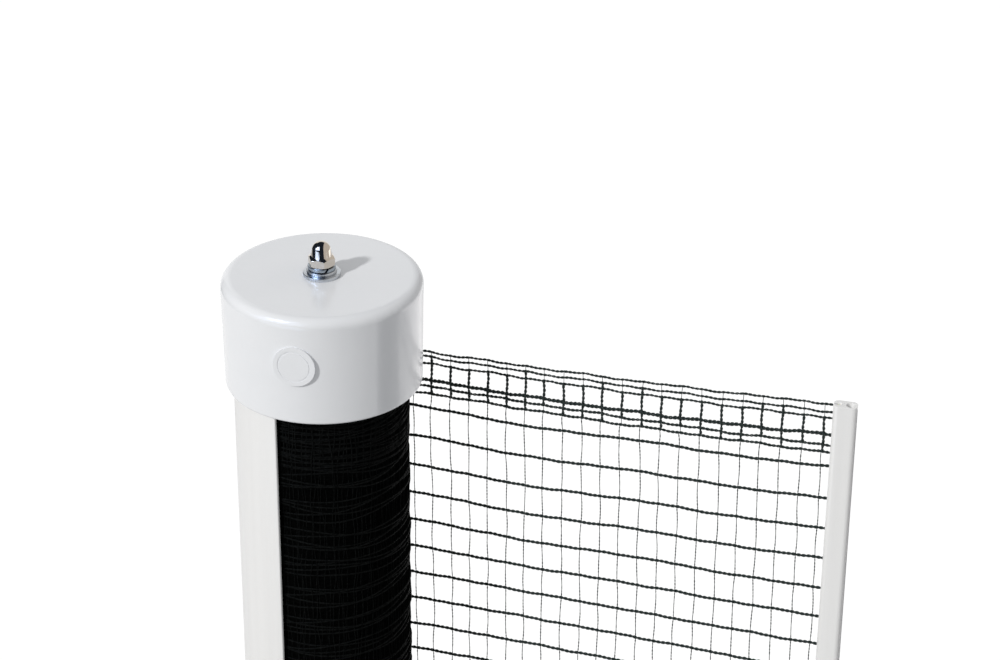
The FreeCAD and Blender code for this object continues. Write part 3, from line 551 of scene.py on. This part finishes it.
def swelling(angles, heights):
    """How far the wound net stands out or in, because its turns lie unevenly."""
    fine = np.sin(heights / (1.5 * MM) + 2 * np.sin(angles))
    return 0.14 * MM * (fine + np.sin(heights / (3.7 * MM) + angles + 1.3))


def make_wound_net(material):
    """The outer turns of the net on the reel, wound from the place where the drawn-out net leaves."""
    roll = Strands()
    outer = ROLL_RADIUS - CORD_INSET
    circumference = TURN * outer
    for depths in LEVEL_CORDS:
        count = int(ROLL_TURNS * circumference / (1.1 * MM))
        share = np.linspace(0, ROLL_TURNS, count)
        drift = np.zeros(count)
        for waves, size in ((0.73, 3.2), (1.9, 1.1), (5.0, 0.3)):
            drift = drift + size * MM * np.sin(TURN * (waves * share + chance.random()))
        drift -= drift[0] * np.exp(-3 * share)
        line = wound_line(share, RIM_Z - depths[0] * MM + drift, outer)
        line[:, 2] = np.clip(line[:, 2], NET_LOW.z + 0.45 * MM, NET_HIGH.z - 0.45 * MM)
        swell = 1 + 0.14 * np.sin(TURN * share * circumference / (3.9 * MM))
        thick = ROLL_HEM_CORD if depths in HEM_DEPTHS else ROLL_ROW_CORD
        roll.tube(line, thick * swell, 4)
    steps = np.linspace(0, 1, 60)
    heights = NET_HIGH.z - 0.6 * MM - (NET_HIGH.z - NET_LOW.z - 1.2 * MM) * steps
    wide = np.where(heights > RIM_Z - HEM_DEPTHS[-1][0] * MM, ROLL_HEM_THREAD, ROLL_ROW_THREAD)
    for upright in range(int(ROLL_TURNS * circumference / MESH_WIDTH)):
        wander = np.zeros(len(steps))
        for waves, size in ((1.3, 0.5), (4.1, 0.35), (9.7, 0.2)):
            wander = wander + size * MM * np.sin(TURN * (waves * steps + chance.random()))
        share = (upright + 0.5) * MESH_WIDTH / circumference + wander / circumference
        roll.tube(wound_line(share, heights, outer + 0.08 * MM), wide, 3)
    return roll.made("wound_net", material)


def wound_line(share, heights, outer):
    """Points on the winding: share counts turns from the outer end, which lies at the back."""
    angle = TURN * (0.25 + share)
    radius = outer - share * TURN_THICKNESS + swelling(angle, heights)
    return np.stack([AXIS_X + radius * np.cos(angle), radius * np.sin(angle), heights], axis=1)


def ridge(apart, tall, wide):
    """How high a rounded ridge stands at a distance from its middle."""
    return tall * np.exp(-((apart / wide) ** 2))


def make_inner_turns(material):
    """The turns underneath, pressed together: a sleeve ridged all over by their cords and threads."""
    sides, levels = 190, 400
    turns = np.arange(sides) * TURN / sides
    angles, heights = np.meshgrid(turns, np.linspace(NET_LOW.z, NET_HIGH.z, levels))
    ridges = np.zeros_like(angles)
    for cord in range(SLEEVE_CORDS):
        middle = NET_LOW.z + (cord + chance.uniform(0.1, 0.9)) / SLEEVE_CORDS * (NET_HIGH.z - NET_LOW.z)
        bend = 1.1 * MM * np.sin(angles + TURN * chance.random())
        bend = bend + 0.3 * MM * np.sin(3 * angles + TURN * chance.random())
        ridges = np.maximum(ridges, ridge(heights - middle - bend, *CORD_RIDGE))
    for thread in range(SLEEVE_THREADS):
        middle = TURN * (thread + chance.uniform(0.1, 0.9)) / SLEEVE_THREADS
        sway = 0.05 * np.sin(heights / (9 * MM) + TURN * chance.random())
        apart = (angles - middle - sway + math.pi) % TURN - math.pi
        ridges = np.maximum(ridges, ridge(apart * ROLL_RADIUS, *THREAD_RIDGE))
    radius = ROLL_RADIUS - SLEEVE_INSET + ridges + swelling(angles, heights)
    outside = np.stack([AXIS_X + radius * np.cos(angles), radius * np.sin(angles), heights], axis=2)
    rings = [outside.reshape(-1, 3)]
    for height in (NET_HIGH.z, NET_LOW.z):
        inner = [AXIS_X + CORE_RADIUS * np.cos(turns), CORE_RADIUS * np.sin(turns), np.full(sides, height)]
        rings.append(np.stack(inner, axis=1))
    faces = []
    for level in range(levels + 2):
        upper = (level + 1) % (levels + 2) * sides
        lower = level * sides
        for side in range(sides):
            following = (side + 1) % sides
            faces.append((lower + side, lower + following, upper + following, upper + side))
    mesh = bpy.data.meshes.new("wound_net_inner")
    mesh.from_pydata(np.concatenate(rings).tolist(), [], faces)
    return new_piece("wound_net_inner", mesh, material)


# Turned metal


# Radii of the washers' holes and of their rounded edges, in mm
WASHER_BORE = 2.65
WASHER_ROUNDING = 0.2


def make_acorn_nut(material):
    """The domed nut: a chamfered hexagon, a neck that narrows upwards, and a ball end on its slope."""
    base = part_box("acorn_nut")[0].z / MM
    bore, flats, corner, chamfer = 2.6, 8.0, 4.62, 0.36
    neck_low, neck_high, neck_tall = 3.45, 3.05, 2.26
    neck_top = base + 5.68
    profile = [(0, base + 6.0), (bore, base + 5.3), (bore, base + 0.35), (bore + 0.35, base)]
    for step in range(6):
        share = step / 5
        profile.append((hexagonal(3.95 + (corner - 3.95) * share, flats), base + chamfer * share))
    for step in range(6):
        share = step / 5
        profile.append((hexagonal(corner - 0.62 * share, flats), base + 2.5 + chamfer * share))
    profile += [(neck_low + 0.03, base + 3.37), (neck_low, base + 3.42), (neck_high, neck_top)]
    slope = math.atan((neck_low - neck_high) / neck_tall)
    ball = neck_high / math.cos(slope)
    middle = neck_top - ball * math.sin(slope)
    for step in range(1, 25):
        turn = slope + (math.pi / 2 - slope) * step / 24
        profile.append((0 if step == 24 else ball * math.cos(turn), middle + ball * math.sin(turn)))
    return metal_piece("domed_nut", lathe("domed_nut", profile, 96), material, "post", "acorn_nut", 20)


def make_ring(name, node, material):
    """A plain washer with rounded outer edges, in its node's place."""
    low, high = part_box(node)
    profile = ring_profile(WASHER_BORE, (high.y - low.y) / 2 / MM, low.z / MM, high.z / MM, WASHER_ROUNDING)
    return metal_piece(name, lathe(name, profile, 96, closed=True), material, "post", node)


def make_spring_washer(material):
    """A split ring of spring wire, whose ends stand slightly apart and at different heights."""
    low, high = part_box("top_lock_washer")
    wide = (high.y - low.y) / 2
    bore = WASHER_BORE * MM
    rise = 0.25 * MM
    tall = high.z - low.z - rise
    half_width, half_height = (wide - bore) / 2, tall / 2
    edge = 0.16 * MM
    section = []
    for corner, (side, up) in enumerate(((1, -1), (1, 1), (-1, 1), (-1, -1))):
        for step in range(4):
            turn = TURN * (corner - 1 + step / 3) / 4
            section.append((side * (half_width - edge) + edge * math.cos(turn),
                            up * (half_height - edge) + edge * math.sin(turn)))
    # The split's width and place round the ring, and how far its ends slant, in radians
    gap, split, slope = 0.17, -0.9, 0.10
    count = 120
    points, faces = [], []
    for step in range(count):
        share = step / (count - 1)
        angle = split + gap / 2 + (TURN - gap) * share
        for across, up in section:
            slant = slope * up / half_height
            reach = (wide + bore) / 2 + across
            points.append((AXIS_X + reach * math.cos(angle + slant), reach * math.sin(angle + slant),
                           low.z + half_height + rise * share + up))
    size = len(section)
    for step in range(count - 1):
        for side in range(size):
            following = (side + 1) % size
            a, b = step * size, (step + 1) * size
            faces.append((a + side, b + side, b + following, a + following))
    faces.append(tuple(range(size)))
    faces.append(tuple((count - 1) * size + side for side in reversed(range(size))))
    mesh = bpy.data.meshes.new("spring_washer")
    mesh.from_pydata(points, [], faces)
    return metal_piece("spring_washer", mesh, material, "post", "top_lock_washer", 40)


def make_axle(material):
    """The rod through the post, with an M5 thread at both ends."""
    low, high = (corner.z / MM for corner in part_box("axle_rod"))
    profile = [(0, low), (2.0, low)] + threaded(low + 0.3, low + 9.5, 2.48, 2.06, 0.8)
    profile += [(2.48, low + 9.9), (2.48, high - 13)]
    profile += threaded(high - 12.6, high - 0.3, 2.48, 2.06, 0.8) + [(2.0, high), (0, high)]
    return metal_piece("threaded_axle", lathe("threaded_axle", profile, 40), material, "post", "axle_rod")


def make_clamp_screw(material):
    """The clamp's M8 screw, with the plain neck and the groove that hold the foot."""
    low, high = (corner.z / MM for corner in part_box("clamp_screw"))
    profile = [(0, low), (3.2, low)] + threaded(low + 0.8, high - 9.6, 3.94, 3.22, 1.25)
    profile += [(3.5, high - 9.2), (3.5, high - 8.5), (3.0, high - 8.45), (3.0, high - 6.0)]
    profile += [(2.55, high - 5.98), (2.55, high - 4.62)]
    profile += [(3.0, high - 4.6), (3.0, high - 0.5), (2.5, high), (0, high)]
    mesh = lathe("threaded_clamp_screw", profile, 56, [Vector((0, 0))])
    return metal_piece("threaded_clamp_screw", mesh, material, "screw", "clamp_screw")


def make_bracket_screws(material):
    """Two domed socket screws that hold the bar under the bottom cap."""
    low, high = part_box("bracket_screws")
    head = (high.y - low.y) / 2 / MM
    under, bottom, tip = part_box("base_bar")[0].z / MM, low.z / MM, high.z / MM
    # The socket takes a 2.5 mm key
    drive = hexagonal(9, 2.5)
    profile = [(0, bottom + 1.5), (drive, bottom + 1.3), (drive, bottom)]
    profile += [(head - 1.5 + 1.5 * math.sin(turn), under - 0.35 - (under - 0.35 - bottom) * math.cos(turn))
                for turn in np.linspace(0, math.pi / 2, 8)]
    profile += [(head, under), (1.75, under), (1.75, tip - 0.4), (1.35, tip), (0, tip)]
    centres = [Vector((low.x + head * MM, 0)), Vector((high.x - head * MM, 0))]
    mesh = lathe("socket_screws", profile, 48, centres)
    return metal_piece("socket_screws", mesh, material, "post", "bracket_screws", 35)


# Camera, light and stage


# The camera that was fitted to the photo: its place, its heading, dip and roll in radians, its lens in mm
CAMERA_PLACE = Vector((219.588, -799.304, 618.956)) * MM
CAMERA_HEADING = -0.26649
CAMERA_DIP = 0.4878
CAMERA_ROLL = -0.00724
CAMERA_LENS = 104.4
# How far the camera stands to the right of -Y, seen from the nut, in degrees
CAMERA_SIDE = 19.2
# The floor's height. It lies so far below the post that the post's shadow falls outside the picture.
FLOOR_Z = -260 * MM
FLOOR_WIDTH = 8


def make_camera():
    """The camera of the photo."""
    data = bpy.data.cameras.new("camera")
    data.lens = CAMERA_LENS
    data.sensor_width = 36
    data.clip_start = 0.01
    camera = bpy.data.objects.new("camera", data)
    ahead = Vector((
        math.sin(CAMERA_HEADING) * math.cos(CAMERA_DIP),
        math.cos(CAMERA_HEADING) * math.cos(CAMERA_DIP),
        -math.sin(CAMERA_DIP),
    ))
    right = Vector((math.cos(CAMERA_HEADING), -math.sin(CAMERA_HEADING), 0))
    down = ahead.cross(right)
    rolled_right = math.cos(CAMERA_ROLL) * right + math.sin(CAMERA_ROLL) * down
    rolled_down = math.cos(CAMERA_ROLL) * down - math.sin(CAMERA_ROLL) * right
    turned = Matrix((rolled_right, -rolled_down, -ahead)).transposed()
    camera.matrix_world = Matrix.Translation(CAMERA_PLACE) @ turned.to_4x4()
    bpy.context.scene.collection.objects.link(camera)
    bpy.context.scene.camera = camera


def direction(right_of_front, height):
    """A direction from the object, in degrees to the right of -Y and above the horizon."""
    side, rise = math.radians(right_of_front), math.radians(height)
    return Vector((math.sin(side) * math.cos(rise), -math.cos(side) * math.cos(rise), math.sin(rise)))


def add_lamp(name, kind, right_of_front, height, distance, power, colour, **settings):
    """A lamp that shines on the post from a direction."""
    data = bpy.data.lights.new(name, kind)
    data.energy = power
    data.color = colour
    for setting, value in settings.items():
        setattr(data, setting, value)
    lamp = bpy.data.objects.new(name, data)
    toward = direction(right_of_front, height)
    lamp.location = Vector((AXIS_X, 0, 0.1)) + distance * toward
    lamp.rotation_mode = "QUATERNION"
    lamp.rotation_quaternion = toward.to_track_quat("Z", "Y")
    bpy.context.scene.collection.objects.link(lamp)
    return lamp


def add_mirrored(mesh, colour, strength):
    """Studio boards and softboxes that only reflections show."""
    material = bpy.data.materials.new(mesh.name)
    material.use_nodes = True
    tree = material.node_tree
    tree.nodes.clear()
    glow = tree.nodes.new("ShaderNodeEmission")
    glow.inputs["Color"].default_value = (*colour, 1)
    glow.inputs["Strength"].default_value = strength
    output = tree.nodes.new("ShaderNodeOutputMaterial")
    tree.links.new(glow.outputs["Emission"], output.inputs["Surface"])
    mesh.materials.append(material)
    board = bpy.data.objects.new(mesh.name, mesh)
    for rays in ("camera", "diffuse", "transmission", "volume_scatter", "shadow"):
        setattr(board, f"visible_{rays}", False)
    bpy.context.scene.collection.objects.link(board)
    return board


def rectangle(name, width, tall, height=0):
    """A flat mesh of one face that looks up."""
    x, y = width / 2, tall / 2
    corners = [(-x, -y, height), (x, -y, height), (x, y, height), (-x, y, height)]
    mesh = bpy.data.meshes.new(name)
    mesh.from_pydata(corners, [], [(0, 1, 2, 3)])
    return mesh


def add_card(name, right_of_front, height, distance, width, tall, colour, strength):
    """A flat card that faces the cap."""
    toward = direction(right_of_front, height)
    card = add_mirrored(rectangle(name, width, tall), colour, strength)
    card.location = Vector((AXIS_X, 0, 0.17)) + distance * toward
    card.rotation_mode = "QUATERNION"
    card.rotation_quaternion = toward.to_track_quat("Z", "Y")


def over_nut(side, rise):
    """A direction from the nut. Side runs to the camera's right, and rise from the camera's side up and over
    to the back."""
    side, rise = math.radians(side), math.radians(rise)
    front, right = direction(CAMERA_SIDE, 0), direction(CAMERA_SIDE + 90, 0)
    over = math.cos(rise) * front + math.sin(rise) * Vector((0, 0, 1))
    return math.sin(side) * right + math.cos(side) * over


def round_post(side, rise):
    """A direction from the nut: side runs round the post from the camera, rise above the horizon."""
    return direction(CAMERA_SIDE + side, rise)


def add_screen(name, towards, sides, rises, distance, colour, strength):
    """A curved screen round the nut, over a range of sides and rises in degrees."""
    steps = 24
    points = []
    for rise in np.linspace(*rises, steps + 1):
        for side in np.linspace(*sides, steps + 1):
            points.append(Vector((AXIS_X, 0, 0.2)) + distance * towards(side, rise))
    faces = []
    for row in range(steps):
        for column in range(steps):
            low = row * (steps + 1) + column
            faces.append((low, low + 1, low + steps + 2, low + steps + 1))
    mesh = bpy.data.meshes.new(name)
    mesh.from_pydata(points, [], faces)
    add_mirrored(mesh, colour, strength)


def seen_or_mirrored(tree):
    """1 for rays from the camera, and for those that gloss or glass sends on."""
    path = tree.nodes.new("ShaderNodeLightPath")
    total = path.outputs["Is Camera Ray"]
    for ray in ("Is Glossy Ray", "Is Transmission Ray"):
        more = tree.nodes.new("ShaderNodeMath")
        more.operation = "MAXIMUM"
        tree.links.new(total, more.inputs[0])
        tree.links.new(path.outputs[ray], more.inputs[1])
        total = more.outputs["Value"]
    return total


def make_world(ambient):
    """White behind the object for the camera, gloss and glass; plain dim light for everything else."""
    world = bpy.data.worlds.new("studio")
    bpy.context.scene.world = world
    world.use_nodes = True
    tree = world.node_tree
    tree.nodes.clear()
    white = tree.nodes.new("ShaderNodeBackground")
    dim = tree.nodes.new("ShaderNodeBackground")
    dim.inputs["Color"].default_value = (*ambient, 1)
    mix = tree.nodes.new("ShaderNodeMixShader")
    output = tree.nodes.new("ShaderNodeOutputWorld")
    white.inputs["Color"].default_value = (1, 1, 1, 1)
    tree.links.new(seen_or_mirrored(tree), mix.inputs["Fac"])
    tree.links.new(dim.outputs["Background"], mix.inputs[1])
    tree.links.new(white.outputs["Background"], mix.inputs[2])
    tree.links.new(mix.outputs["Shader"], output.inputs["Surface"])


# The floor's own white and its paint, for the camera and gloss, and its paint for the light on the object
FLOOR_GLOW = 0.80
FLOOR_SEEN = 0.27
FLOOR_BOUNCE = 0.455


def make_floor():
    """A wide pale floor that stays white in the picture and still takes a soft shadow."""
    mesh = rectangle("studio_floor", FLOOR_WIDTH, FLOOR_WIDTH, FLOOR_Z)
    material = bpy.data.materials.new("studio_floor")
    material.use_nodes = True
    tree = material.node_tree
    tree.nodes.clear()
    seen = seen_or_mirrored(tree)
    tint = tree.nodes.new("ShaderNodeMapRange")
    tint.inputs["To Min"].default_value = FLOOR_BOUNCE
    tint.inputs["To Max"].default_value = FLOOR_SEEN
    paint = tree.nodes.new("ShaderNodeBsdfDiffuse")
    glow = tree.nodes.new("ShaderNodeEmission")
    own = tree.nodes.new("ShaderNodeMath")
    own.operation = "MULTIPLY"
    own.inputs[1].default_value = FLOOR_GLOW
    both = tree.nodes.new("ShaderNodeAddShader")
    output = tree.nodes.new("ShaderNodeOutputMaterial")
    tree.links.new(seen, tint.inputs["Value"])
    tree.links.new(tint.outputs["Result"], paint.inputs["Color"])
    tree.links.new(seen, own.inputs[0])
    tree.links.new(own.outputs["Value"], glow.inputs["Strength"])
    tree.links.new(paint.outputs["BSDF"], both.inputs[0])
    tree.links.new(glow.outputs["Emission"], both.inputs[1])
    tree.links.new(both.outputs["Shader"], output.inputs["Surface"])
    mesh.materials.append(material)
    floor = bpy.data.objects.new("studio_floor", mesh)
    bpy.context.scene.collection.objects.link(floor)


def make_studio():
    """A key lamp from the left, a weak fill from the right, and what the cap's wall and the nut mirror."""
    make_world((0.47, 0.475, 0.483))
    make_floor()
    key = add_lamp("key", "SUN", -34.8, 33, 2, 2.24, (1.0, 0.99, 0.975), angle=math.radians(4.5))
    key.visible_glossy = False
    fill = add_lamp("right_fill", "AREA", 120, 10, 1.2, 1.2, (1.0, 0.97, 0.96), shape="SQUARE", size=0.6)
    fill.visible_glossy = False
    black = (0, 0, 0)
    white = (1, 1, 1)
    cool = (0.85, 1.05, 1.45)
    dark = (0.015, 0.020, 0.030)
    warm = (0.66, 0.62, 0.58)
    # Cards that the right side of the cap's wall mirrors
    add_card("dark_gap", 94.6, -26, 0.30, 0.142, 0.20, black, 0)
    add_card("thin_strip", 76.5, -26, 0.30, 0.02, 0.20, white, 2.0)
    add_card("right_glow", 138.5, -26, 0.30, 0.30, 0.20, (1.0, 0.98, 0.98), 1.95)
    # What the nut and washers mirror: a dark room, a grey wall on the right, and softboxes
    add_screen("dark_room", over_nut, (-90, 26), (-22, 140), 0.60, dark, 1)
    add_screen("dark_side", round_post, (-150, -60), (-21, 60), 0.61, dark, 1)
    add_screen("right_wall", over_nut, (26, 80), (-16, 140), 0.58, warm, 1)
    add_screen("right_side", round_post, (64, 150), (-20, 60), 0.62, warm, 1)
    add_card("key_box", -34.8, 36, 0.46, 0.14, 0.14, cool, 8)
    add_screen("upper_softbox", over_nut, (-74, -20), (16, 66), 0.50, cool, 1.6)
    add_screen("lower_softbox", over_nut, (-74, -20), (-24, -7), 0.50, cool, 1.5)


# Finishes of the frame's own nodes


def dress(material, *nodes):
    """Gives nodes a material in place of the one they came with."""
    for name in nodes:
        mesh = NODES[name].data
        mesh.materials.clear()
        mesh.materials.append(material)


def soften(width, *nodes):
    """Small rounded edges on moulded, bent and cut parts."""
    for name in nodes:
        weld = NODES[name].modifiers.new("weld", "WELD")
        weld.merge_threshold = 0.002 * MM
        bevel = NODES[name].modifiers.new("rounded_edges", "BEVEL")
        bevel.width = width * MM
        bevel.segments = 3
        bevel.limit_method = "ANGLE"
        bevel.angle_limit = math.radians(40)
        bevel.harden_normals = True


bpy.context.scene.view_settings.view_transform = "Standard"
make_camera()
make_studio()

cord_dark = cord_fibre("net_cord", (0.012, 0.018, 0.017), (0.034, 0.046, 0.042), 0.25)
# The wound net's outer cords are painted several times darker than the drawn net's cord: painted shade on
# the roll.
shaded_roll_cord = cord_fibre("rolled_cord_painted_shade", (0.0009, 0.0010, 0.0010), (0.0075, 0.0082, 0.0080), 0.02)
# The inner turns' cord is darker still: painted shade deep between the wound turns.
deep_shade_cord = cord_fibre("inner_cord_painted_shade", (0.0005, 0.0005, 0.0005), (0.0022, 0.0024, 0.0023), 0.0)

drawn_net = make_drawn_net(cord_dark)
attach(drawn_net, "pull_bar")
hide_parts("net_sheet")

wound_net = make_wound_net(shaded_roll_cord)
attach(wound_net, "reel")
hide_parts("net_roll")

inner_turns = make_inner_turns(deep_shade_cord)
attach(inner_turns, "reel")

nickel = plated("nickel_plate", (0.63, 0.575, 0.505), (0.68, 0.625, 0.555), (0.06, 0.11), 500, 0.000004)
zinc = plated("zinc_plate", (0.57, 0.60, 0.635), (0.65, 0.675, 0.70), (0.24, 0.38), 380, 0.000003)
# Blued spring steel, set darker than the zinc partly for its own finish and partly as painted shade in the
# gap under the nut.
blued_and_shaded = plated("blued_and_shaded_spring_steel", (0.34, 0.39, 0.44), (0.45, 0.50, 0.55), (0.24, 0.36), 520, 0.000003)
make_acorn_nut(nickel)
make_ring("flat_washer", "top_flat_washer", zinc)
make_ring("spacer_washer", "top_spacer_washer", zinc)
make_spring_washer(blued_and_shaded)
make_axle(zinc)
make_clamp_screw(zinc)
make_bracket_screws(zinc)

dress(cap_plastic(), "top_cap", "bottom_cap")
dress(shell_plastic(), "housing_shell")
dress(zinc, "top_inner_washer", "top_inner_nut", "drag_disc_spring", "bottom_inner_nut",
      "bottom_inner_washer", "bottom_washer", "bottom_lock_nut", "screw_boss", "swivel_foot",
      "foot_retaining_ring", "knob_insert")
dress(powder_coat(), "jaw_bracket", "base_bar")
dress(nylon(), "top_thrust_washer", "roller_top_bush", "roller_top_plug", "roller_bottom_plug",
      "roller_bottom_bush", "net_anchor_strip", "drag_washer", "keder_rod")
dress(rubber(), "jaw_pad", "foot_pad")
dress(knob_plastic(), "clamp_knob")
dress(bar_plastic(), "end_bar")
dress(aluminium(), "roller_tube")
soften(0.45, "housing_shell")
soften(0.35, "jaw_bracket", "base_bar")
soften(0.2, "end_bar")

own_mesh(drawn_net)
